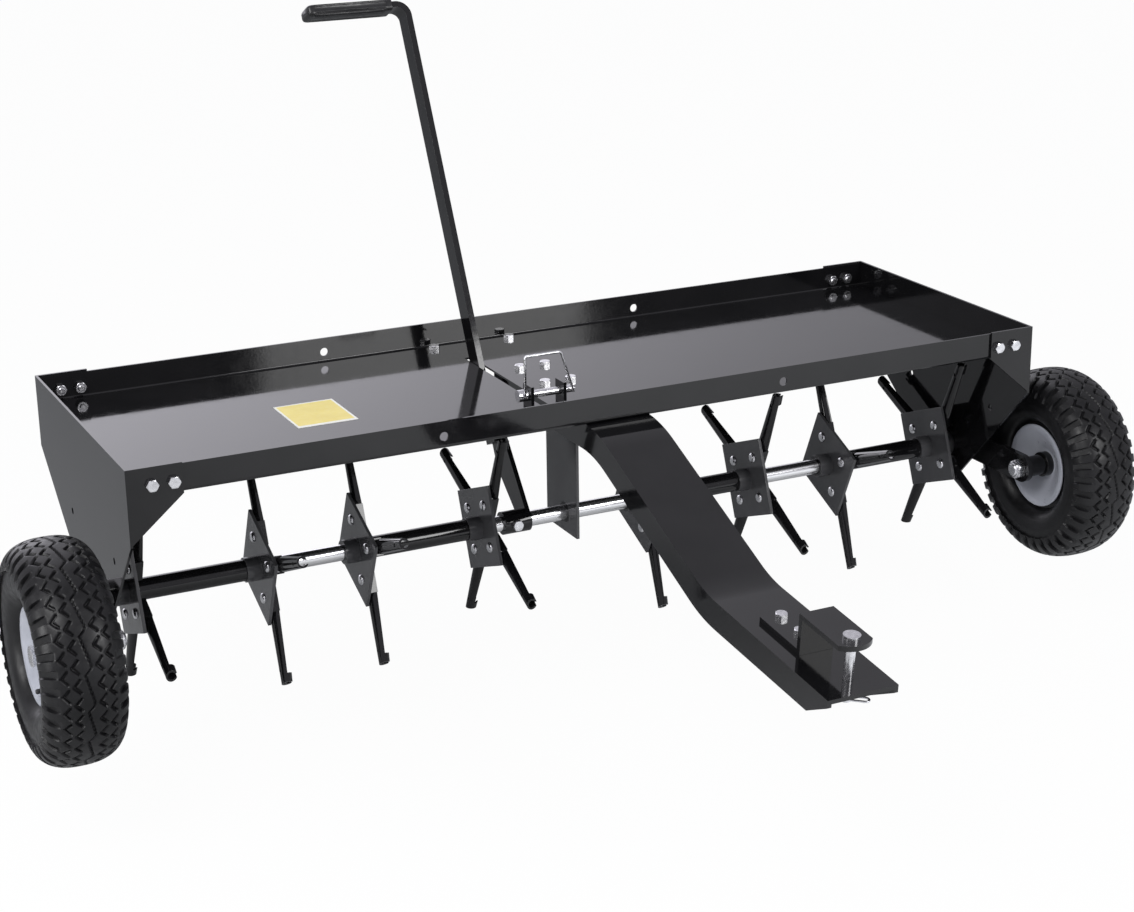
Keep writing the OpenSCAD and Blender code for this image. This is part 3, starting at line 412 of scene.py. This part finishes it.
# Hexagon with its corners turned off on a cone, corner along x, standing on the place
def hex_block(bm, place, corner, height, lower_chamfer):
    steps = 48
    side_angle = math.radians(60)
    cone_slope = math.tan(math.radians(30))
    round_share = 0.96
    flat = corner * math.cos(side_angle / 2)
    round_r = flat * round_share

    def outline(height_at):
        ring = []
        for angle in full_turn(steps):
            radius = flat / math.cos(angle % side_angle - side_angle / 2)
            point = Vector((radius * math.cos(angle), radius * math.sin(angle), height_at(radius)))
            ring.append(bm.verts.new(place @ point))
        return ring

    rings = []
    if lower_chamfer:
        rings.append(circle(bm, place, round_r, 0, steps))
        rings.append(outline(lambda radius: (radius - round_r) * cone_slope))
    else:
        rings.append(outline(lambda radius: 0))
    rings.append(outline(lambda radius: height - (radius - round_r) * cone_slope))
    rings.append(circle(bm, place, round_r, height, steps))
    skin(bm, rings, False)


# Rod from the place upwards, its far end threaded and chamfered
def rod(bm, place, radius, length, thread_l):
    pitch = 1.25 * MM
    depth = 0.45 * MM
    chamfer = 0.8 * MM
    turns = int(thread_l / pitch)
    start = length - chamfer - turns * pitch
    profile = [(radius, 0), (radius, start)]
    for i in range(turns):
        profile.append((radius - depth, start + (i + 0.5) * pitch))
        profile.append((radius, start + (i + 1) * pitch))
    profile.append((radius - chamfer, length))
    lathe(bm, place, profile)


# Low domed head, standing on the place
def dome(bm, place, radius, height):
    rises = 6
    shrink_share = 0.55
    profile = []
    for i in range(rises + 1):
        angle = math.radians(90) * i / rises
        shrink = shrink_share * (1 - math.cos(angle))
        profile.append((radius * (1 - shrink), height * math.sin(angle)))
    lathe(bm, place, profile)


# The separate solids of a node as lists of points
def solids(node):
    same_place = 0.002 * MM
    bm = bmesh.new()
    bm.from_mesh(nodes[node].data)
    bmesh.ops.remove_doubles(bm, verts=bm.verts, dist=same_place)
    groups = []
    seen = set()
    for first in bm.verts:
        if first in seen:
            continue
        seen.add(first)
        stack = [first]
        group = []
        while stack:
            vert = stack.pop()
            group.append(vert.co.copy())
            for edge in vert.link_edges:
                other = edge.other_vert(vert)
                if other not in seen:
                    seen.add(other)
                    stack.append(other)
        groups.append(group)
    bm.free()
    return groups


# Foot and length of a solid along an axis
def span(points, axis, side):
    along = [point.dot(axis) for point in points]
    low = min(along)
    high = max(along)
    turn = stand(Vector((0, 0, 0)), axis, side).to_3x3()
    flat = [turn.transposed() @ point for point in points]
    x = (min(point.x for point in flat) + max(point.x for point in flat)) / 2
    y = (min(point.y for point in flat) + max(point.y for point in flat)) / 2
    return turn @ Vector((x, y, low)), high - low


# The kinds of fastener, each built over a solid's whole length
def hex_bolt(bm, foot, axis, side, length):
    neck = foot + axis * (length - head_h)
    rod(bm, stand(neck, -axis, side), bolt_r, length - head_h, nut_h + thread_out)
    hex_block(bm, stand(neck, axis, side), hex_r, head_h, False)


def plain_nut(bm, foot, axis, side, length):
    hex_block(bm, stand(foot, axis, side), hex_r, length, True)


def round_bolt(bm, foot, axis, side, length):
    neck = foot + axis * round_head_h
    dome(bm, stand(neck, -axis, side), round_head_r, round_head_h)
    hex_block(bm, stand(foot + axis * (length - thread_out - nut_h), axis, side), hex_r, nut_h, True)
    rod(bm, stand(neck, axis, side), bolt_r, length - round_head_h, thread_out)


def axle_bolt(bm, foot, axis, side, length):
    neck = foot + axis * (length - axle_head_h)
    rod(bm, stand(neck, -axis, side), axle_r, length - axle_head_h, axle_nut_h + thread_out)
    hex_block(bm, stand(neck, axis, side), axle_hex_r, axle_head_h, False)


# Lock nut: a hexagon with a round collar on its inner end
def axle_nut(bm, foot, axis, side, length):
    hex_h = 0.8 * length
    collar_h = 0.2 * length
    collar_edge = 0.12 * length
    collar_r = 0.82 * axle_hex_r
    collar_end_r = 0.74 * axle_hex_r
    hex_block(bm, stand(foot + axis * length, -axis, side), axle_hex_r, hex_h, True)
    lathe(bm, stand(foot + axis * (length - hex_h), -axis, side),
          [(collar_r, 0), (collar_r, collar_edge), (collar_end_r, collar_h)])


# Replaces a node of fasteners; axis and side are found for each solid from its middle
def fasteners(node, body, material, build, axis_of, side_of):
    bm = bmesh.new()
    for points in solids(node):
        centre = sum(points, Vector((0, 0, 0))) / len(points)
        axis = axis_of(centre)
        side = side_of(centre)
        foot, length = span(points, axis, side)
        build(bm, foot, axis, side, length)
    make_piece("fine_" + node, bm, body, material, [node], sharp_deg=20)


def outward_y(centre):
    return Y_AXIS if centre.y > tray_mid.y else -Y_AXIS


def inward_y(centre):
    return -outward_y(centre)


def outward_x(centre):
    return X_AXIS if centre.x > 0 else -X_AXIS


def from_shaft(centre):
    return Vector((0, centre.y - shaft_mid.y, centre.z - shaft_mid.z))


def always(direction):
    return lambda centre: direction


def make_fasteners(material):
    along_x = always(X_AXIS)
    fasteners("end_plate_bolts", "frame", material, hex_bolt, outward_y, along_x)
    fasteners("end_plate_nuts", "frame", material, plain_nut, inward_y, along_x)
    fasteners("floor_bolts", "frame", material, hex_bolt, always(Z_AXIS), along_x)
    fasteners("floor_nuts", "frame", material, plain_nut, always(-Z_AXIS), along_x)
    fasteners("strap_bolts", "frame", material, hex_bolt, always(nose_up), along_x)
    fasteners("strap_nuts", "frame", material, plain_nut, always(-nose_up), along_x)
    fasteners("lever_bolts", "lift", material, round_bolt, always(-X_AXIS), always(lever_up))
    fasteners("collar_bolt", "lift", material, hex_bolt, always(-Y_AXIS), along_x)
    fasteners("axle_bolts", "lift", material, axle_bolt, outward_x, always(Z_AXIS))
    fasteners("axle_nuts", "lift", material, axle_nut, outward_x, always(Z_AXIS))
    for gang in gangs:
        fasteners(gang + "_bolts", gang, material, round_bolt, along_x, from_shaft)


# Runs softly from 0 to 1 while the value runs from low to high
def ease(value, low, high):
    share = min(1.0, max(0.0, (value - low) / (high - low)))
    return share * share * (3 - 2 * share)


# Tyre section in millimetres, as the source has it
tyre_middle_r = 93.5
tyre_half_h = 36.5
tyre_half_w = 48.0
tyre_fullness = 0.8
bead_share = 0.88
bead_angle = -math.asin(bead_share)
foot_angle = math.radians(6)
shoulder_angle = math.radians(27)
shoulder_lean = Vector((0.5, 0.866))
sidewall_inset = 4.0
tread_count = 38
gap_width = 8.5
gap_floor = 4.6
gap_phase = 0.25


# Radius and width of the tyre's full outline at an angle from its widest place
def tyre_point(angle):
    high = math.sin(angle)
    wide = math.cos(angle)
    return Vector((tyre_middle_r + tyre_half_h * math.copysign(abs(high) ** tyre_fullness, high),
                   tyre_half_w * abs(wide) ** tyre_fullness))


# Half the outline from the crown to the bead: point, distance from the crown, angle and outward normal
def tyre_stations():
    tread_step = 1.15
    wall_step = 3.0
    fine_steps = 1200
    crown_angle = math.radians(90)
    angles = [crown_angle + (bead_angle - crown_angle) * i / fine_steps for i in range(fine_steps + 1)]
    points = [tyre_point(angle) for angle in angles]
    stations = []
    reach = 0.0
    next_reach = 0.0
    on_wall = False
    for i in range(fine_steps):
        slope = points[i + 1] - points[i]
        at_foot = angles[i] < foot_angle and not on_wall
        if reach >= next_reach or at_foot:
            normal = Vector((slope.y, -slope.x)).normalized()
            if at_foot:
                on_wall = True
                stations.append((tyre_point(foot_angle), reach, foot_angle, normal))
            stations.append((points[i], reach, angles[i], normal))
            next_reach = reach + (wall_step if on_wall else tread_step)
        reach += slope.length
    stations.append((points[-1], reach, angles[-1], normal))
    return stations


# Depth of a groove with leaning walls, at a distance from its middle line
def groove(distance, half_width, depth):
    wall_in = 0.4
    wall_out = 0.7
    return depth * (1 - ease(distance, half_width - wall_in, half_width + wall_out))


# Crown of the tread: a sawtooth line in the middle and two rows of angled cuts on each side of it.
# along is in pitches of the shoulder blocks, across is in millimetres towards +x.
# A row of cuts has its place across and its phase along
def crown_depth(along, across):
    pitch = 21.5
    line_pitches = 2
    line_swing = 4.0
    line_long_share = 0.8
    line_half_w = 1.0
    line_depth = 2.4
    share = along % line_pitches / line_pitches
    rising = share / line_long_share if share < line_long_share else (1 - share) / (1 - line_long_share)
    depth = groove(abs(across - line_swing * (2 * rising - 1)), line_half_w, line_depth)
    cut_half_w = 1.3
    cut_depth = 3.4
    cut_corner = Vector((0.0, -4.2))
    cut_arm = Vector((7.0, 6.6))
    row_phases = ((-26.0, 0.5), (-13.5, 0.0), (13.5, 0.0), (26.0, 0.5))
    for row, phase in row_phases:
        off = abs((along + phase) % 1 - 0.5) * pitch
        from_corner = Vector((off, across - row)) - cut_corner
        arm_share = min(1.0, max(0.0, from_corner.dot(cut_arm) / cut_arm.dot(cut_arm)))
        depth = max(depth, groove((from_corner - cut_arm * arm_share).length, cut_half_w, cut_depth))
    return depth


# Depth of the gaps between the shoulder blocks
def gap_depth(along, side, point, normal):
    half_wall = 0.4
    phase = along + gap_phase * side
    off = abs(phase - round(phase)) * 2 * math.pi * point.x / tread_count
    inside = 1 - ease(off, gap_width / 2 - half_wall, gap_width / 2 + half_wall)
    below = shoulder_lean.dot(point - tyre_point(shoulder_angle)) + gap_floor
    return inside * max(0.0, below) / shoulder_lean.dot(normal)


# Where a point of the outline goes: into the tread, or in from the full width on the ringed sidewall
def tyre_surface(along, side, sign, station):
    point, reach, angle, normal = station
    if angle < foot_angle:
        rib_at = 74.0
        rib_h = 0.9
        rib_half_top = 0.5
        rib_half_foot = 2.6
        rib = rib_h * (1 - ease(abs(reach - rib_at), rib_half_top, rib_half_foot))
        share = (angle - bead_angle) / (foot_angle - bead_angle)
        return Vector((point.x, point.y * (1 - sidewall_inset * share / tyre_half_w) + rib))
    depth = max(crown_depth(along, sign * side * reach), gap_depth(along, side, point, normal))
    return point - normal * depth


# Tyre: the outline follows the tread's pattern, which repeats after two blocks
def make_tyre(side, material):
    block_steps = 18
    pattern_steps = 2 * block_steps
    seat_r = 50.3
    seat_half_w = 28.0
    node = "tyre_" + side
    sign = side_sign[side]
    centre = middle(node)
    stations = tyre_stations()
    seat = [Vector((seat_r, seat_half_w)), Vector((seat_r, 0.0)), Vector((seat_r, -seat_half_w))]
    flip = Vector((1, -1))
    sections = []
    for i in range(pattern_steps):
        along = i / block_steps
        outer = [tyre_surface(along, 1, sign, station) for station in stations]
        inner = [tyre_surface(along, -1, sign, station) * flip for station in reversed(stations[1:])]
        sections.append(inner + outer + seat)
    bm = bmesh.new()
    rings = []
    for j, angle in enumerate(full_turn(tread_count * block_steps)):
        ring = []
        for point in sections[j % pattern_steps]:
            place = Vector((sign * point.y, point.x * math.cos(angle), point.x * math.sin(angle))) * MM
            ring.append(bm.verts.new(centre + place))
        rings.append(ring)
    skin(bm, rings, True)
    make_piece("tread_" + node, bm, "wheel_" + side, material, [node], sharp_deg=40)


# Rim: dished disc with a rolled edge and a pressed ring, closed over the tyre's seat.
# Its section is in millimetres, radius and distance from the middle
def make_rim(side, material):
    steps = 96
    outer_half = [(17.0, 15.0), (21.0, 15.2), (23.0, 17.0), (32.0, 21.2), (34.0, 23.4), (44.0, 28.4),
                  (47.5, 31.2), (50.5, 32.2), (54.0, 32.6), (55.8, 32.9), (56.8, 32.2), (56.9, 31.0),
                  (56.0, 30.2), (51.0, 28.6), (50.0, 27.0)]
    hollow = [(17.0, -12.0), (47.0, -26.0), (47.0, 26.0), (17.0, 12.0)]
    section = outer_half + [(radius, -out) for radius, out in reversed(outer_half)] + hollow
    node = "rim_" + side
    place = stand(middle(node), X_AXIS * side_sign[side], Y_AXIS)
    bm = bmesh.new()
    lathe(bm, place, [(radius * MM, out * MM) for radius, out in section], steps, True)
    make_piece("dished_" + node, bm, "wheel_" + side, material, [node], sharp_deg=50)


# Valve: a ribbed stem with a cap, in shares of its radius and its length
def make_valve(side, material):
    steps = 24
    shares = [(1.0, 0.0), (1.0, 0.12), (0.72, 0.3), (0.7, 0.52), (0.95, 0.54), (0.95, 0.62), (0.86, 0.64),
              (0.95, 0.66), (0.95, 0.76), (0.86, 0.78), (0.95, 0.8), (0.95, 0.92), (0.6, 1.0)]
    node = "valve_" + side
    low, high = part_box(node)
    length = high.x - low.x
    radius = (high.y - low.y) / 2
    centre = middle(node)
    sign = side_sign[side]
    place = stand(Vector((centre.x - sign * length / 2, centre.y, centre.z)), X_AXIS * sign, Y_AXIS)
    bm = bmesh.new()
    lathe(bm, place, [(out * radius, up * length) for out, up in shares], steps)
    make_piece("capped_" + node, bm, "wheel_" + side, material, [node], sharp_deg=30)


# Grip: a dipped vinyl sleeve with ribs along it and a rounded end.
# A station has its share of the length, the fullness of its section and whether it is ribbed
def make_grip(material):
    half_w = 16.95 * MM
    half_t = 7.95 * MM
    end_round = 5 * MM
    squareness = 0.42
    ribs = 26
    rib_depth = 0.7 * MM
    steps = 156
    stations = [(0.0, 0.55, 0), (0.012, 0.8, 0), (0.03, 0.93, 0), (0.055, 1.0, 0), (0.075, 1.0, 0),
                (0.09, 1.0, 1), (0.5, 1.0, 1), (0.91, 1.0, 1), (0.925, 1.0, 0), (0.94, 1.0, 0),
                (0.955, 1.0, 0), (1.0, 0.97, 0)]
    low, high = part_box("lever_grip")
    centre = middle("lever_grip")
    length = high.x - low.x
    outline = []
    for angle in full_turn(steps):
        wide = math.cos(angle)
        tall = math.sin(angle)
        wave = 0.5 + 0.5 * math.cos(ribs * angle)
        outline.append((math.copysign(abs(wide) ** squareness, wide),
                        math.copysign(abs(tall) ** squareness, tall), wave))
    bm = bmesh.new()
    rings = []
    for share, fullness, ribbed in stations:
        place = Vector((low.x + share * length, centre.y, centre.z))
        ring = []
        for wide, tall, wave in outline:
            sink = rib_depth * wave * ribbed
            back = wide * ((half_w - end_round * (1 - fullness)) - sink)
            up = tall * ((half_t - end_round * (1 - fullness)) - sink)
            ring.append(bm.verts.new(place + lever_back * back + lever_up * up))
        rings.append(ring)
    skin(bm, rings, False)
    make_piece("ribbed_grip", bm, "lift", material, ["lever_grip"], sharp_deg=50)


# Rounds the corners of a path by short arcs, each with its own radius
def rounded(points, radii, steps=6):
    path = [points[0]]
    for before, at, after, radius in zip(points, points[1:], points[2:], radii):
        start = at + (before - at).normalized() * radius
        end = at + (after - at).normalized() * radius
        for i in range(steps + 1):
            share = i / steps
            path.append(start * (1 - share) ** 2 + at * 2 * share * (1 - share) + end * share ** 2)
    path.append(points[-1])
    return path


# Sweeps a round wire along a path; side starts in a direction in which the path doesn't run
def wire(bm, path, radius, steps=16):
    rings = []
    side = Vector((0.3, 0.2, 1))
    for i, point in enumerate(path):
        before = path[max(i - 1, 0)]
        after = path[min(i + 1, len(path) - 1)]
        place = stand(point, after - before, side)
        side = place.to_3x3() @ X_AXIS
        rings.append(circle(bm, place, radius, 0, steps))
    skin(bm, rings, False)


# Bail: bent round wire from the pin's head over both lugs
def make_bail(material):
    radius = 1.6 * MM
    far_slant = 17 * MM
    stub_bend = 1 * MM
    top_bend = 4 * MM
    low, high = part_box("lock_bail")
    y = low.y + radius
    near_x = low.x + radius
    far_x = high.x - radius
    top_z = high.z - radius
    pin_z = low.z + radius
    path = [Vector((near_x, high.y, pin_z)), Vector((near_x, y, pin_z)), Vector((near_x, y, top_z)),
            Vector((far_x - far_slant, y, top_z)), Vector((far_x, y, low.z))]
    bm = bmesh.new()
    wire(bm, rounded(path, (stub_bend, top_bend, top_bend)), radius)
    make_piece("wire_bail", bm, "lock_bail", material, ["lock_bail"], sharp_deg=60)


# Shows one shader to the camera, another to reflections and a third to all other light
def show(tree, shaded, seen, reflected):
    path = tree.nodes.new("ShaderNodeLightPath").outputs
    glossy = add_math(tree, "MAXIMUM", path["Is Glossy Ray"], path["Is Transmission Ray"])
    unseen = mix_shaders(tree, glossy, shaded, reflected)
    return mix_shaders(tree, path["Is Camera Ray"], unseen, seen)


# World: white to the camera, brightest behind the part in reflections, soft grey light otherwise
def make_world():
    behind_strength = 2.2
    around_strength = 0.55
    behind_angle = math.radians(40)
    world = bpy.data.worlds.new("studio")
    scene.world = world
    world.use_nodes = True
    tree = world.node_tree
    soft = tree.nodes["Background"]
    soft.inputs["Color"].default_value = (0.9, 0.93, 1.0, 1)
    soft.inputs["Strength"].default_value = around_strength
    white = add_node(tree, "ShaderNodeBackground", Color=(1, 1, 1, 1), Strength=1.0)
    place = tree.nodes.new("ShaderNodeTexCoord").outputs["Generated"]
    split = add_node(tree, "ShaderNodeSeparateXYZ", Vector=place).outputs
    turn = add_math(tree, "ABSOLUTE", add_math(tree, "ARCTAN2", split["X"], split["Y"]))
    fade = add_ramp(tree, turn, 0, behind_angle, behind_strength, around_strength, smooth=True)
    sky = add_node(tree, "ShaderNodeBackground", Color=(0.94, 0.925, 1, 1), Strength=fade)
    shown = show(tree, soft.outputs["Background"], white.outputs["Background"], sky.outputs["Background"])
    tree.links.new(shown, tree.nodes["World Output"].inputs["Surface"])


# Floor: white to the camera but for a faint shadow; in reflections its colour is painted shade, greyer on
# the left and at the back.
# It lies where the wheels stand when the lift is fully down
def make_floor():
    half = 8.0
    level = -93 * MM
    white_share = 0.96
    left_x = -0.5
    right_x = 0.4
    front_y = -0.3
    back_y = 0.6
    left_grey = 0.5
    right_grey = 1.0
    back_grey = 0.42
    floor_shader = Shader("pale_floor", Roughness=0.9, Specular_IOR_Level=0.0)
    tree = floor_shader.tree
    split = add_node(tree, "ShaderNodeSeparateXYZ", Vector=floor_shader.place).outputs
    # painted shade: the floor's colour, which only reflections see, darkens towards the left and the back
    front_grey = add_ramp(tree, split["X"], left_x, right_x, left_grey, right_grey)
    floor_shader.link(add_ramp(tree, split["Y"], front_y, back_y, front_grey, back_grey), "Base Color")
    shaded = add_node(tree, "ShaderNodeBsdfDiffuse", Color=(0.86, 0.86, 0.86, 1)).outputs["BSDF"]
    white = add_node(tree, "ShaderNodeEmission", Strength=1.0).outputs["Emission"]
    seen = mix_shaders(tree, white_share, shaded, white)
    shown = show(tree, shaded, seen, floor_shader.main.outputs["BSDF"])
    tree.links.new(shown, tree.nodes["Material Output"].inputs["Surface"])
    bm = bmesh.new()
    corners = [(-half, -half, level), (half, -half, level), (half, half, level), (-half, half, level)]
    bm.faces.new([bm.verts.new(corner) for corner in corners])
    mesh = bpy.data.meshes.new("floor")
    bm.to_mesh(mesh)
    bm.free()
    mesh.materials.append(floor_shader.material)
    floor = bpy.data.objects.new("floor", mesh)
    scene.collection.objects.link(floor)


def make_lamp(name, place, target, width, height, power):
    data = bpy.data.lights.new(name, "AREA")
    data.shape = "RECTANGLE"
    data.size = width
    data.size_y = height
    data.energy = power
    lamp = bpy.data.objects.new(name, data)
    lamp.location = place
    lamp.rotation_euler = (Vector(target) - Vector(place)).to_track_quat("-Z", "Y").to_euler()
    scene.collection.objects.link(lamp)


def make_lights():
    make_lamp("front_right", place=(1.14, -2.6, 1.6), target=(0.1, 0.2, 0.3),
              width=0.95, height=1.2, power=34)
    make_lamp("top_left", place=(-1.9, -1.2, 2.4), target=(-0.2, 0.1, 0.2),
              width=1.6, height=1.2, power=42)
    make_lamp("side_left", place=(-2.4, -0.2, 0.6), target=(-0.7, 0.04, 0.14),
              width=0.8, height=0.8, power=16)


make_camera()
materials = make_materials()
dress_nodes(materials)
soften_nodes()
make_fasteners(materials["zinc"])
make_bail(materials["zinc"])
make_grip(materials["vinyl"])
for side in ("left", "right"):
    make_tyre(side, materials["tyre_rubber"])
    make_rim(side, materials["rim_grey"])
    make_valve(side, materials["valve_rubber"])
make_world()
make_floor()
make_lights()
